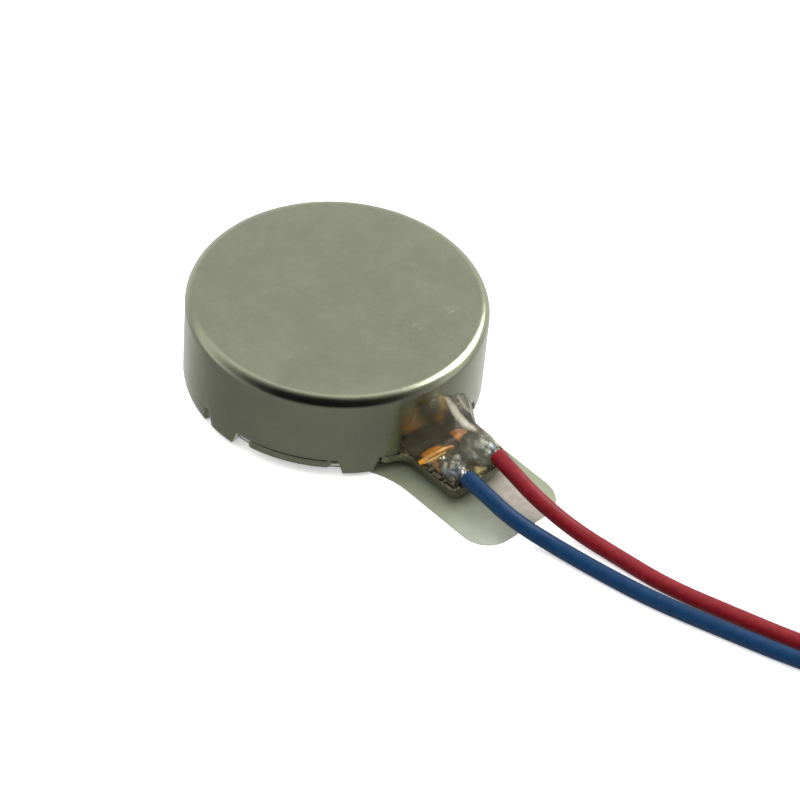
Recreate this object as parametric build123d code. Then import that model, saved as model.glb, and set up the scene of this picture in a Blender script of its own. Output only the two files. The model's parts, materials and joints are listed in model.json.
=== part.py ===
from build123d import *
import os
from math import cos, degrees, hypot, pi, radians, sin, tan

# Coin vibration motor: a flat brush motor whose rotor carries an off-centre weight.
# Frame: the shaft is the Z axis, Z = 0 is the underside of the release liner that the motor
# stands on, and +X is the direction of the tail where the two leads leave. Millimetres.

# ---------------------------------------------------------------- general fits
FIT = 0.02                      # gap between pieces that are glued or seated in each other
RUNNING_GAP = 0.02              # radial gap of the bearing on the shaft

# ---------------------------------------------------------------- adhesive tape and release liner
LINER_THICKNESS = 0.05
TAPE_THICKNESS = 0.10
TAPE_MARGIN = 0.50              # from the tape's edge to the outside of the case wall
TAB_WIDTH = 3.76                # pull tab of the liner
TAB_LENGTH = 4.3                # from the case wall to the tab's end
TAB_CORNER_RADIUS = 1.0
TAB_ROOT_RADIUS = 3.0           # hollow curve where the tab leaves the disc

# ---------------------------------------------------------------- case: a deep-drawn steel cup
CASE_RADIUS = 5.0
CASE_HEIGHT = 3.25
CASE_WALL = 0.30
CASE_EDGE_RADIUS = 0.35         # round edge between the wall and the top
CEILING_EDGE_RADIUS = 0.12      # the same edge on the inside
RIM_GAP = 0.02                  # seam between the wall's lower edge and the bracket
WINDOW_SIDE_GAP = 0.25          # on each side of the flexible circuit's neck
WINDOW_HEIGHT = 0.70            # above the wall's lower edge
WINDOW_CORNER_RADIUS = 0.3
SHAFT_SOCKET_DEPTH = 0.10

# ---------------------------------------------------------------- clinch fingers of the case
FINGERS = (                     # angle, width at the tip and at the root; each is on both sides
    (32.8, 0.95, 1.35),
    (88.85, 0.95, 1.35),
    (120.8, 3.68, 3.72),
)
FINGER_BEND_RADIUS = 0.10
FINGER_REACH = 0.75             # how far the bent end goes under the bracket, from the wall

# ---------------------------------------------------------------- bracket: the base plate
BRACKET_THICKNESS = 0.30
BRACKET_NOTCHES = ((33.2, 1.50), (87.45, 1.75))  # angle and width of each notch for a narrow finger
LONG_NOTCH_ANGLE = 118          # middle of the notch for a wide finger, which joins the one before
LONG_NOTCH_SPAN = 56
NOTCH_CLEARANCE = 0.10          # from the notch floor to the inside of the case wall
NOTCH_CORNER_RADIUS = 0.25      # plan radius of the ears' corners
TONGUE_WIDTH = 2.6
TONGUE_LENGTH = 2.2             # from the case wall to the tongue's end
TONGUE_CORNER_RADIUS = 0.25
TONGUE_ROOT_RADIUS = 0.55
BOSS_RADIUS = 0.75
BOSS_HEIGHT = 0.40

# ---------------------------------------------------------------- shaft, bearing and washers
SHAFT_RADIUS = 0.40
BEARING_RADIUS = 0.95
WASHER_RADIUS = 0.85
WASHER_THICKNESS = 0.08
LOWER_END_FLOAT = 0.04
UPPER_END_FLOAT = 0.07

# ---------------------------------------------------------------- ring magnet and flexible circuit
FLEX_THICKNESS = 0.10
FLEX_EDGE_GAP = 0.45            # to the inside of the case wall
FLEX_HOLE_RADIUS = 0.90
FLEX_NECK_INSET = 0.15          # from the edges of the tongue
MAGNET_EDGE_GAP = 0.40          # to the inside of the case wall
MAGNET_INNER_RADIUS = 2.4
MAGNET_THICKNESS = 0.70
PAD_LENGTH = 0.95
PAD_WIDTH = 0.75
PAD_THICKNESS = 0.03
PAD_FROM_WALL = 1.40            # from the case wall to the middle of the pads
PAD_SPREAD = 1.40               # between the middles of the two pads

# ---------------------------------------------------------------- brushes
BRUSH_LEAF = 0.05
BRUSH_WIDTH = 0.45
BRUSH_OFFSET = 1.55             # from the shaft axis to the leaf's centre line
BRUSH_FOOT_START = -1.25
BRUSH_FOOT_END = -0.55
BRUSH_TIP_START = 0.55
BRUSH_TIP_END = 0.95
BRUSH_GAP = 0.015               # to the commutator
BRUSH_ANGLES = (0, 90)
BRUSH_SOLDER_RADIUS = 0.20

# ---------------------------------------------------------------- rotor
ROTOR_SIDE_GAP = 0.35           # to the inside of the case wall
ROTOR_TOP_GAP = 0.27            # from the weight to the case's ceiling
AIR_GAP = 0.23                  # between the magnet and the commutator board
BOARD_THICKNESS = 0.15
BOARD_INSET = 0.10              # the insets are from the moulding's round side
SEGMENT_COUNT = 6
SEGMENT_THICKNESS = 0.03
SEGMENT_INNER_RADIUS = 1.15
SEGMENT_OUTER_RADIUS = 2.15
SEGMENT_SLOT = 0.14
COIL_COVER = 0.12               # moulding above the windings
COIL_INNER_RADIUS = 1.45
COIL_INSET = 0.30
COIL_SPAN = 80
COIL_BUILD = 0.72               # width of the winding, from its outside to its hole
COIL_CORNER_RADIUS = 0.75
COIL_ANGLES = (134, 226)
WEIGHT_PROUD = 0.03             # the weight stands this far above the moulding
WEIGHT_INNER_RADIUS = 1.9
WEIGHT_INSET = 0.05
WEIGHT_SPAN = 150
WEIGHT_CORNER_RADIUS = 0.2

# ---------------------------------------------------------------- leads and their joints
LEAD_DIAMETER = 0.54
STRAND_DIAMETER = 0.26          # the twisted copper strands inside the insulation
STRIP_LENGTH = 2.0              # tinned length at the free ends
SOLDER_LENGTH = 1.15
SOLDER_WIDTH = 0.82
SOLDER_HEIGHT = 0.52
SOLDER_INSET = 0.10             # the strands start this far inside the solder
CORNER_SHARE = 0.45             # part of the shorter run that a route's arc may use

RED_ROUTE = (
    (7.11, 0.64, 1.15), (7.95, 0.52, 1.12), (9.10, 0.48, 0.88), (10.55, 0.80, 0.40),
    (12.20, 1.14, 0.27), (14.10, 1.44, 0.27), (16.10, 2.14, 0.27), (18.30, 2.92, 0.28),
    (20.30, 3.82, 0.35), (21.65, 4.30, 0.39),
)
BLUE_ROUTE = (
    (7.17, -0.78, 1.12), (8.00, -0.80, 1.08), (9.20, -0.68, 0.76), (10.55, -0.16, 0.35),
    (12.20, 0.22, 0.27), (14.10, 0.66, 0.27), (16.30, 1.44, 0.27), (18.80, 2.36, 0.28),
    (20.70, 3.25, 0.35), (21.85, 3.76, 0.39),
)

# ---------------------------------------------------------------- the spare length, coiled and tied
WIRE_COIL_CENTRE = (20.64, 6.88)
WIRE_COIL_RADIUS = 3.0          # middle of the pair of leads
WIRE_COIL_LAYERS = 3
COIL_TIE_THICKNESS = 0.10
COIL_TIE_WIDTH = 0.9
COIL_TIE_ANGLE = 80
COIL_TIE_HEAD = (0.9, 1.1, 0.5)
RED_TIP_ANGLE = 301             # where on the coil each lead ends
BLUE_TIP_ANGLE = 171
RED_TIP_TURN = 35               # the red end turns in towards the coil's middle

# ---------------------------------------------------------------- glue over the tail
GLUE_WALL_HEIGHT = 1.75         # how far it climbs the case wall above the flexible circuit
GLUE_SADDLE_HEIGHT = 0.85
GLUE_SADDLE_FROM_WALL = 0.9
GLUE_FRONT_HEIGHT = 0.62
GLUE_FRONT_FROM_WALL = 1.95
GLUE_LENGTH = 2.15              # from the case wall to the glue's end on the tongue
GLUE_INSET = 0.05               # from the sides of the flexible circuit's neck

# ---------------------------------------------------------------- levels
TAPE_BOTTOM = LINER_THICKNESS
CASE_BOTTOM = TAPE_BOTTOM + TAPE_THICKNESS
BRACKET_BOTTOM = CASE_BOTTOM + CASE_WALL
BRACKET_TOP = BRACKET_BOTTOM + BRACKET_THICKNESS
RIM = BRACKET_TOP + RIM_GAP
CASE_TOP = CASE_BOTTOM + CASE_HEIGHT
CEILING = CASE_TOP - CASE_WALL
FLEX_TOP = BRACKET_TOP + FLEX_THICKNESS
PAD_TOP = FLEX_TOP + PAD_THICKNESS
MAGNET_TOP = FLEX_TOP + MAGNET_THICKNESS
BOSS_TOP = BRACKET_TOP + BOSS_HEIGHT
LOWER_WASHER_TOP = BOSS_TOP + WASHER_THICKNESS
UPPER_WASHER_BOTTOM = CEILING - WASHER_THICKNESS
BEARING_BOTTOM = LOWER_WASHER_TOP + LOWER_END_FLOAT
BEARING_TOP = UPPER_WASHER_BOTTOM - UPPER_END_FLOAT
BOARD_BOTTOM = MAGNET_TOP + AIR_GAP
BOARD_TOP = BOARD_BOTTOM + BOARD_THICKNESS
SEGMENT_BOTTOM = BOARD_BOTTOM - SEGMENT_THICKNESS

WEIGHT_THICKNESS = CEILING - ROTOR_TOP_GAP - BOARD_TOP
MOULDING_THICKNESS = WEIGHT_THICKNESS - WEIGHT_PROUD
COIL_THICKNESS = MOULDING_THICKNESS - COIL_COVER

# ---------------------------------------------------------------- radii and reaches from the axis
CASE_INSIDE_RADIUS = CASE_RADIUS - CASE_WALL
TAPE_RADIUS = CASE_RADIUS - TAPE_MARGIN
FLEX_RADIUS = CASE_INSIDE_RADIUS - FLEX_EDGE_GAP
MAGNET_OUTER_RADIUS = CASE_INSIDE_RADIUS - MAGNET_EDGE_GAP
MOULDING_RADIUS = CASE_INSIDE_RADIUS - ROTOR_SIDE_GAP
BOARD_RADIUS = MOULDING_RADIUS - BOARD_INSET
COIL_OUTER_RADIUS = MOULDING_RADIUS - COIL_INSET
WEIGHT_OUTER_RADIUS = MOULDING_RADIUS - WEIGHT_INSET
TAB_REACH = CASE_RADIUS + TAB_LENGTH
TONGUE_REACH = CASE_RADIUS + TONGUE_LENGTH
FLEX_NECK_REACH = TONGUE_REACH - FLEX_NECK_INSET
FLEX_NECK_WIDTH = TONGUE_WIDTH - 2 * FLEX_NECK_INSET
WINDOW_WIDTH = FLEX_NECK_WIDTH + 2 * WINDOW_SIDE_GAP
GLUE_WIDTH = FLEX_NECK_WIDTH - 2 * GLUE_INSET
PAD_FROM_AXIS = CASE_RADIUS + PAD_FROM_WALL


# ---------------------------------------------------------------- helpers
def disc(radius, bottom, top):
    """Upright cylinder on the shaft axis between two levels."""
    return extrude(Plane.XY.offset(bottom) * Circle(radius), top - bottom)


def ring(outer_radius, inner_radius, bottom, top):
    """Upright tube on the shaft axis between two levels."""
    return disc(outer_radius, bottom, top) - disc(inner_radius, bottom, top)


def slab(length, width, bottom, top, centre=(0, 0)):
    """Upright block around a point, between two levels."""
    plate = Pos(centre[0], centre[1], bottom) * Rectangle(length, width)
    return extrude(plate, top - bottom)


def sector_face(inner_radius, outer_radius, span, corner_radius):
    """Flat annular sector around +X with rounded corners."""
    half = radians(span / 2)
    inner = [(inner_radius * cos(a), inner_radius * sin(a)) for a in (-half, 0, half)]
    outer = [(outer_radius * cos(a), outer_radius * sin(a)) for a in (-half, 0, half)]
    outline = Wire([
        ThreePointArc(*inner),
        Line(inner[2], outer[2]),
        ThreePointArc(*reversed(outer)),
        Line(outer[0], inner[0]),
    ])
    face = make_face(outline.edges())
    return fillet(face.vertices(), corner_radius)


def at_level(face, bottom, thickness):
    """Extrude a flat face upwards from a level."""
    return extrude(Pos(0, 0, bottom) * face, thickness)


def only(shape):
    """The single solid that a shape holds."""
    solids = shape.solids()
    if len(solids) != 1:
        raise ValueError(f"expected one solid, found {len(solids)}")
    return solids[0]


# ---------------------------------------------------------------- tape and liner
def make_tape_disc():
    return disc(TAPE_RADIUS, TAPE_BOTTOM, CASE_BOTTOM)


def make_release_liner():
    """Disc of the tape's size with a pull tab under the tail."""
    round_part = disc(TAPE_RADIUS, 0, LINER_THICKNESS)
    tab_plate = Pos(TAB_REACH / 2, 0) * Rectangle(TAB_REACH, TAB_WIDTH)
    end_corners = tab_plate.vertices().sort_by(Axis.X)[-2:]
    tab = at_level(fillet(end_corners, TAB_CORNER_RADIUS), 0, LINER_THICKNESS)
    liner = round_part + tab
    roots = liner.edges().filter_by(Axis.Z).group_by(Axis.X)[0]
    return fillet(roots, TAB_ROOT_RADIUS)


# ---------------------------------------------------------------- case
def finger_outline(angle, tip_width, root_width):
    """Block through the wall that holds one finger: a tab that narrows towards its tip."""
    outline = Polyline(
        (-root_width / 2, RIM),
        (root_width / 2, RIM),
        (tip_width / 2, CASE_BOTTOM),
        (-tip_width / 2, CASE_BOTTOM),
        close=True,
    )
    block = extrude(Plane.YZ * make_face(outline), 2 * CASE_RADIUS)
    return Rot(0, 0, angle) * block


def make_finger_ring():
    """Wall below the rim with its bent-in lower end, all the way round."""
    flange_inner = CASE_INSIDE_RADIUS - FINGER_REACH
    profile = Polyline(
        (CASE_INSIDE_RADIUS, RIM),
        (CASE_RADIUS, RIM),
        (CASE_RADIUS, CASE_BOTTOM),
        (flange_inner, CASE_BOTTOM),
        (flange_inner, BRACKET_BOTTOM),
        (CASE_INSIDE_RADIUS, BRACKET_BOTTOM),
        close=True,
    )
    face = Plane.XZ * make_face(profile)
    bend = face.vertices().sort_by(lambda v: v.X - v.Z)[-1]
    return revolve(fillet(bend, FINGER_BEND_RADIUS), Axis.Z)


def make_case():
    outside = disc(CASE_RADIUS, RIM, CASE_TOP)
    top_edge = outside.edges().sort_by(Axis.Z)[-1]
    outside = fillet(top_edge, CASE_EDGE_RADIUS)
    inside = disc(CASE_INSIDE_RADIUS, RIM, CEILING)
    ceiling_edge = inside.edges().sort_by(Axis.Z)[-1]
    inside = fillet(ceiling_edge, CEILING_EDGE_RADIUS)
    socket = disc(SHAFT_RADIUS + FIT, CEILING, CEILING + SHAFT_SOCKET_DEPTH)
    case = outside - inside - socket

    opening = Rectangle(WINDOW_WIDTH, 2 * WINDOW_HEIGHT)
    opening = fillet(opening.vertices(), WINDOW_CORNER_RADIUS)
    case -= extrude(Plane.YZ * Pos(0, RIM) * opening, 2 * CASE_RADIUS)

    finger_ring = make_finger_ring()
    for angle, tip_width, root_width in FINGERS:
        for side in (1, -1):
            case += finger_ring & finger_outline(side * angle, tip_width, root_width)
    return case


# ---------------------------------------------------------------- bracket
def make_bracket():
    """Base plate: a disc with notches for the fingers, a tongue and a boss for the shaft."""
    outline = Circle(CASE_RADIUS) + Pos(TONGUE_REACH / 2, 0) * Rectangle(TONGUE_REACH, TONGUE_WIDTH)
    notch_floor = CASE_INSIDE_RADIUS - NOTCH_CLEARANCE
    for angle, width in BRACKET_NOTCHES:
        for side in (1, -1):
            cut = Pos(notch_floor + CASE_WALL + NOTCH_CLEARANCE, 0)
            cut *= Rectangle(2 * (CASE_WALL + NOTCH_CLEARANCE), width)
            outline -= Rot(0, 0, side * angle) * cut
    long_cut = sector_face(notch_floor, CASE_RADIUS + CASE_WALL, LONG_NOTCH_SPAN, NOTCH_CLEARANCE)
    for side in (1, -1):
        outline -= Rot(0, 0, side * LONG_NOTCH_ANGLE) * long_cut
    tongue_end = outline.vertices().sort_by(Axis.X)[-2:]
    outline = fillet(tongue_end, TONGUE_CORNER_RADIUS)
    ear_corners = outline.vertices().filter_by(
        lambda v: abs(hypot(v.X, v.Y) - CASE_RADIUS) < FIT and abs(v.Y) > TONGUE_WIDTH / 2 + FIT
    )
    outline = fillet(ear_corners, NOTCH_CORNER_RADIUS)
    tongue_root = outline.vertices().filter_by(
        lambda v: v.X > 0 and abs(abs(v.Y) - TONGUE_WIDTH / 2) < FIT / 2 and v.X < CASE_RADIUS
    )
    first_angle, first_width = BRACKET_NOTCHES[0]
    notch_side = CASE_RADIUS * sin(radians(first_angle)) - first_width / 2 * cos(radians(first_angle))
    land = notch_side - TONGUE_WIDTH / 2 - NOTCH_CORNER_RADIUS
    outline = fillet(tongue_root, min(TONGUE_ROOT_RADIUS, land))

    bracket = at_level(outline, BRACKET_BOTTOM, BRACKET_THICKNESS)
    bracket += disc(BOSS_RADIUS, BRACKET_TOP, BOSS_TOP)
    return bracket - disc(SHAFT_RADIUS + FIT, BRACKET_BOTTOM, BOSS_TOP)


# ---------------------------------------------------------------- shaft and washers
def make_shaft():
    return disc(SHAFT_RADIUS, BRACKET_BOTTOM, CEILING + SHAFT_SOCKET_DEPTH)


def make_lower_washer():
    return ring(WASHER_RADIUS, SHAFT_RADIUS + FIT, BOSS_TOP, LOWER_WASHER_TOP)


def make_upper_washer():
    return ring(WASHER_RADIUS, SHAFT_RADIUS + FIT, UPPER_WASHER_BOTTOM, CEILING)


# ---------------------------------------------------------------- magnet and flexible circuit
def make_ring_magnet():
    return ring(MAGNET_OUTER_RADIUS, MAGNET_INNER_RADIUS, FLEX_TOP, MAGNET_TOP)


def make_flex_circuit():
    """Disc under the magnet with a neck that runs out on the tongue."""
    outline = Circle(FLEX_RADIUS)
    outline += Pos(FLEX_NECK_REACH / 2, 0) * Rectangle(FLEX_NECK_REACH, FLEX_NECK_WIDTH)
    outline -= Circle(FLEX_HOLE_RADIUS)
    return at_level(outline, BRACKET_TOP, FLEX_THICKNESS)


def pad_centres():
    """Red pad on the +Y side, blue pad on the -Y side."""
    return ((PAD_FROM_AXIS, PAD_SPREAD / 2), (PAD_FROM_AXIS, -PAD_SPREAD / 2))


def make_solder_pads():
    return [slab(PAD_LENGTH, PAD_WIDTH, FLEX_TOP, PAD_TOP, centre) for centre in pad_centres()]


# ---------------------------------------------------------------- brushes
def make_brush(angle):
    """Leaf spring: a foot on the flexible circuit, a sloping arm and a flat contact tip."""
    tip_top = SEGMENT_BOTTOM - BRUSH_GAP
    lower = (
        (BRUSH_FOOT_START, FLEX_TOP),
        (BRUSH_FOOT_END, FLEX_TOP),
        (BRUSH_TIP_START, tip_top - BRUSH_LEAF),
        (BRUSH_TIP_END, tip_top - BRUSH_LEAF),
    )
    upper = [(x, z + BRUSH_LEAF) for x, z in reversed(lower)]
    leaf = make_face(Polyline(*lower, *upper, close=True))
    brush = extrude(Plane.XZ * leaf, BRUSH_WIDTH / 2, both=True)
    return Rot(0, 0, angle) * Pos(0, BRUSH_OFFSET, 0) * brush


def make_brush_solder():
    """A low dome of solder on each brush foot."""
    domes = []
    foot_middle = (BRUSH_FOOT_START + BRUSH_FOOT_END) / 2
    foot_top = FLEX_TOP + BRUSH_LEAF
    for angle in BRUSH_ANGLES:
        ball = Pos(foot_middle, BRUSH_OFFSET, foot_top) * Sphere(BRUSH_SOLDER_RADIUS)
        above_foot = slab(
            2 * BRUSH_SOLDER_RADIUS, 2 * BRUSH_SOLDER_RADIUS,
            foot_top, foot_top + BRUSH_SOLDER_RADIUS, (foot_middle, BRUSH_OFFSET),
        )
        domes.append(Rot(0, 0, angle) * (ball & above_foot))
    return domes


# ---------------------------------------------------------------- rotor
def make_bearing():
    return ring(BEARING_RADIUS, SHAFT_RADIUS + RUNNING_GAP, BEARING_BOTTOM, BEARING_TOP)


def make_commutator_board():
    return ring(BOARD_RADIUS, BEARING_RADIUS + FIT, BOARD_BOTTOM, BOARD_TOP)


def make_commutator_segments():
    track = ring(SEGMENT_OUTER_RADIUS, SEGMENT_INNER_RADIUS, SEGMENT_BOTTOM, BOARD_BOTTOM)
    for index in range(SEGMENT_COUNT // 2):
        slot = slab(3 * SEGMENT_OUTER_RADIUS, SEGMENT_SLOT, SEGMENT_BOTTOM, BOARD_BOTTOM)
        track -= Rot(0, 0, index * 360 / SEGMENT_COUNT) * slot
    return list(track.solids())


def coil_outline(margin):
    """Outside of a winding, grown by a margin."""
    face = sector_face(COIL_INNER_RADIUS, COIL_OUTER_RADIUS, COIL_SPAN, COIL_CORNER_RADIUS)
    return offset(face, margin) if margin else face


def coil_hole(margin):
    """Hole in the middle of a winding, shrunk by a margin."""
    return offset(coil_outline(0), -COIL_BUILD - margin)


def make_rotor_coil(angle):
    winding = coil_outline(0) - coil_hole(0)
    return Rot(0, 0, angle) * at_level(winding, BOARD_TOP, COIL_THICKNESS)


def make_counterweight():
    face = sector_face(WEIGHT_INNER_RADIUS, WEIGHT_OUTER_RADIUS, WEIGHT_SPAN, WEIGHT_CORNER_RADIUS)
    return at_level(face, BOARD_TOP, WEIGHT_THICKNESS)


def make_rotor_moulding():
    """Resin body that holds the windings, the weight and the bearing on the board."""
    body = ring(MOULDING_RADIUS, BEARING_RADIUS + FIT, BOARD_TOP, BOARD_TOP + MOULDING_THICKNESS)
    coil_pocket = at_level(coil_outline(FIT) - coil_hole(FIT), BOARD_TOP, COIL_THICKNESS)
    for angle in COIL_ANGLES:
        body -= Rot(0, 0, angle) * coil_pocket
    weight_face = sector_face(
        WEIGHT_INNER_RADIUS - FIT,
        MOULDING_RADIUS + WEIGHT_CORNER_RADIUS,
        WEIGHT_SPAN + 2 * degrees(FIT / WEIGHT_INNER_RADIUS),
        WEIGHT_CORNER_RADIUS,
    )
    return body - at_level(weight_face, BOARD_TOP, WEIGHT_THICKNESS)


# ---------------------------------------------------------------- leads
def corner_radii(route):
    """The largest arc at each corner that leaves both its runs room for the next one."""
    points = [Vector(*point) for point in route]
    runs = [end - start for start, end in zip(points, points[1:])]
    radii = []
    for before, after in zip(runs, runs[1:]):
        turn = radians(before.get_angle(after))
        radii.append(CORNER_SHARE * min(before.length, after.length) / tan(turn / 2))
    return radii


def make_lead(name, route):
    """Insulated lead along its route, as straight runs joined by tangent arcs."""
    radii = corner_radii(route)
    path = FilletPolyline(*route, radius=radii)
    section = Plane(origin=path @ 0, z_dir=path % 0) * Circle(LEAD_DIAMETER / 2)
    lead = sweep(section, path)
    expected = pi * LEAD_DIAMETER ** 2 / 4 * path.length
    print(f"{name}: length {path.length:.2f}, volume {lead.volume / expected:.4f} of section times length")
    print(f"{name}: radii", ", ".join(f"{radius:.1f}" for radius in radii))
    return lead


def strand_from(route, centre):
    """Stripped strands from the pad to the start of a lead's insulation."""
    start = Vector(centre[0] - SOLDER_LENGTH / 2 + SOLDER_INSET, centre[1], PAD_TOP + STRAND_DIAMETER / 2)
    end = Vector(*route[0])
    return extrude(Plane(origin=start, z_dir=end - start) * Circle(STRAND_DIAMETER / 2), (end - start).length)


def make_solder_joint(centre, strands):
    """Solder that has flowed over the pad and the strands."""
    blob = scale(Sphere(1), by=(SOLDER_LENGTH / 2, SOLDER_WIDTH / 2, SOLDER_HEIGHT))
    blob = Pos(centre[0], centre[1], PAD_TOP) * blob
    above_pad = slab(SOLDER_LENGTH, SOLDER_WIDTH, PAD_TOP, PAD_TOP + SOLDER_HEIGHT, centre)
    return (blob & above_pad) - strands


def make_lead_tip(angle, radius, turn):
    """Tinned end that leaves the coil along its tangent, turned inwards by an angle."""
    level = COIL_TIE_THICKNESS + FIT + (WIRE_COIL_LAYERS - 0.5) * LEAD_DIAMETER
    start = Vector(
        WIRE_COIL_CENTRE[0] + radius * cos(radians(angle)),
        WIRE_COIL_CENTRE[1] + radius * sin(radians(angle)),
        level,
    )
    heading = radians(angle + 90 + turn)
    along = Vector(cos(heading), sin(heading), 0)
    return extrude(Plane(origin=start, z_dir=along) * Circle(STRAND_DIAMETER / 2), STRIP_LENGTH)


def coil_pair_radii():
    """Radii of the red turns, inside, and the blue turns, outside."""
    half_pitch = (LEAD_DIAMETER + FIT) / 2
    return WIRE_COIL_RADIUS - half_pitch, WIRE_COIL_RADIUS + half_pitch


def make_lead_coil():
    """Outer shape of the coil that both leads are wound into."""
    red_radius, blue_radius = coil_pair_radii()
    bottom = COIL_TIE_THICKNESS + FIT
    top = bottom + WIRE_COIL_LAYERS * LEAD_DIAMETER
    body = ring(blue_radius + LEAD_DIAMETER / 2, red_radius - LEAD_DIAMETER / 2, bottom, top)
    body = fillet(body.edges().filter_by(GeomType.CIRCLE), LEAD_DIAMETER / 2)
    return Pos(*WIRE_COIL_CENTRE, 0) * body


def make_coil_tie():
    """Strap round the coil's section, with a small lock on top."""
    inside_width = 2 * LEAD_DIAMETER + 3 * FIT
    inside_top = COIL_TIE_THICKNESS + 2 * FIT + WIRE_COIL_LAYERS * LEAD_DIAMETER
    outside = slab(
        inside_width + 2 * COIL_TIE_THICKNESS, COIL_TIE_WIDTH, 0, inside_top + COIL_TIE_THICKNESS
    )
    opening = slab(inside_width, 2 * COIL_TIE_WIDTH, COIL_TIE_THICKNESS, inside_top)
    head_length, head_width, head_height = COIL_TIE_HEAD
    head_bottom = inside_top + COIL_TIE_THICKNESS
    head = slab(head_length, head_width, head_bottom, head_bottom + head_height)
    tie = outside - opening + head
    return Pos(*WIRE_COIL_CENTRE, 0) * Rot(0, 0, COIL_TIE_ANGLE) * Pos(WIRE_COIL_RADIUS, 0, 0) * tie


# ---------------------------------------------------------------- glue over the tail
def make_glue_bead(buried):
    """Resin over the solder joints that climbs the case wall; what it buries is cut out of it."""
    profile = Polyline(
        (CASE_INSIDE_RADIUS, FLEX_TOP),
        (CASE_INSIDE_RADIUS, FLEX_TOP + GLUE_WALL_HEIGHT),
        (CASE_RADIUS, FLEX_TOP + GLUE_WALL_HEIGHT),
        (CASE_RADIUS + GLUE_SADDLE_FROM_WALL, FLEX_TOP + GLUE_SADDLE_HEIGHT),
        (CASE_RADIUS + GLUE_FRONT_FROM_WALL, FLEX_TOP + GLUE_FRONT_HEIGHT),
        (CASE_RADIUS + GLUE_LENGTH, FLEX_TOP),
        close=True,
    )
    bead = extrude(Plane.XZ * make_face(profile), GLUE_WIDTH / 2, both=True)
    bead -= disc(CASE_RADIUS, FLEX_TOP, CASE_TOP)
    for piece in buried:
        bead -= piece
    return bead


# ---------------------------------------------------------------- assembly
def build_parts():
    red_pad, blue_pad = pad_centres()
    red_strands = strand_from(RED_ROUTE, red_pad)
    blue_strands = strand_from(BLUE_ROUTE, blue_pad)
    red_solder = make_solder_joint(red_pad, red_strands)
    blue_solder = make_solder_joint(blue_pad, blue_strands)
    red_lead = make_lead("red_lead", RED_ROUTE)
    blue_lead = make_lead("blue_lead", BLUE_ROUTE)
    solder_pads = make_solder_pads()
    red_radius, blue_radius = coil_pair_radii()
    buried = [*solder_pads, red_strands, blue_strands, red_solder, blue_solder, red_lead, blue_lead]
    return {
        "case": make_case(),
        "bracket": make_bracket(),
        "tape_disc": make_tape_disc(),
        "release_liner": make_release_liner(),
        "shaft": make_shaft(),
        "lower_washer": make_lower_washer(),
        "upper_washer": make_upper_washer(),
        "ring_magnet": make_ring_magnet(),
        "flex_circuit": make_flex_circuit(),
        "solder_pads": solder_pads,
        "brush_positive": make_brush(BRUSH_ANGLES[0]),
        "brush_negative": make_brush(BRUSH_ANGLES[1]),
        "brush_solder": make_brush_solder(),
        "bearing": make_bearing(),
        "commutator_board": make_commutator_board(),
        "commutator_segments": make_commutator_segments(),
        "rotor_coil_a": make_rotor_coil(COIL_ANGLES[0]),
        "rotor_coil_b": make_rotor_coil(COIL_ANGLES[1]),
        "counterweight": make_counterweight(),
        "rotor_moulding": make_rotor_moulding(),
        "red_strands": red_strands,
        "blue_strands": blue_strands,
        "red_solder_joint": red_solder,
        "blue_solder_joint": blue_solder,
        "glue_bead": make_glue_bead(buried),
        "red_lead": red_lead,
        "blue_lead": blue_lead,
        "lead_coil": make_lead_coil(),
        "red_lead_tip": make_lead_tip(RED_TIP_ANGLE, red_radius, RED_TIP_TURN),
        "blue_lead_tip": make_lead_tip(BLUE_TIP_ANGLE, blue_radius, 0),
        "coil_tie": make_coil_tie(),
    }


GROUPS = ("solder_pads", "brush_solder", "commutator_segments")


def main():
    os.makedirs("parts", exist_ok=True)
    for name, shape in build_parts().items():
        if name in GROUPS:
            result = Compound([only(piece) for piece in shape])
        else:
            result = only(shape)
        export_step(result, f"parts/{name}.step")


main()
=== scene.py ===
import json
import random
from math import asin, ceil, cos, exp, pi, radians, sin, sqrt

import bmesh
import bpy
from mathutils import Matrix, Vector, noise


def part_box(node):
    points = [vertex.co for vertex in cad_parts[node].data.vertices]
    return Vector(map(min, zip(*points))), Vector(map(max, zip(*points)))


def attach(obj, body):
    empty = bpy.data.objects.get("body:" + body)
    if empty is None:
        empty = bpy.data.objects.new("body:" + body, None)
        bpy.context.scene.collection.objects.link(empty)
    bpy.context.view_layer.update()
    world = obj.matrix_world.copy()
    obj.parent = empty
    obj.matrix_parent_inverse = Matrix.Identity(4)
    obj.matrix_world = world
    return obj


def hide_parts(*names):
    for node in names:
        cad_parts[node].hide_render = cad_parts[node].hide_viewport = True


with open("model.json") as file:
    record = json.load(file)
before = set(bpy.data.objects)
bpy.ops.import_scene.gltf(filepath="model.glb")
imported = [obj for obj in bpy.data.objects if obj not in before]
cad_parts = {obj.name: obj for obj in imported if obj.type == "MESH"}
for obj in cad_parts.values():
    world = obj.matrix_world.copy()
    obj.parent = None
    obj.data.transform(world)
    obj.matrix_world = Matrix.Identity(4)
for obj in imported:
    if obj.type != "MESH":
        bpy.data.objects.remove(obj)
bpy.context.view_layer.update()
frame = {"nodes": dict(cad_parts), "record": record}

MM = 0.001
STATOR = "stator"
ROTOR = "rotor"

# ------------------------------------------------------------ places taken from the CAD model, in mm
def box_mm(node):
    low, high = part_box(node)
    return Vector(low) / MM, Vector(high) / MM


CASE_LOW, CASE_HIGH = box_mm("case")
FLEX_LOW, FLEX_HIGH = box_mm("flex_circuit")
COIL_LOW, COIL_HIGH = box_mm("lead_coil")
PLATE_TOP = FLEX_LOW.z           # the bracket's plate, under the flexible circuit
CASE_RADIUS = CASE_HIGH.y
CASE_TOP = CASE_HIGH.z
CASE_BOTTOM = CASE_LOW.z
FLEX_TOP = FLEX_HIGH.z
PAD_TOP = box_mm("solder_pads")[1].z

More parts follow.
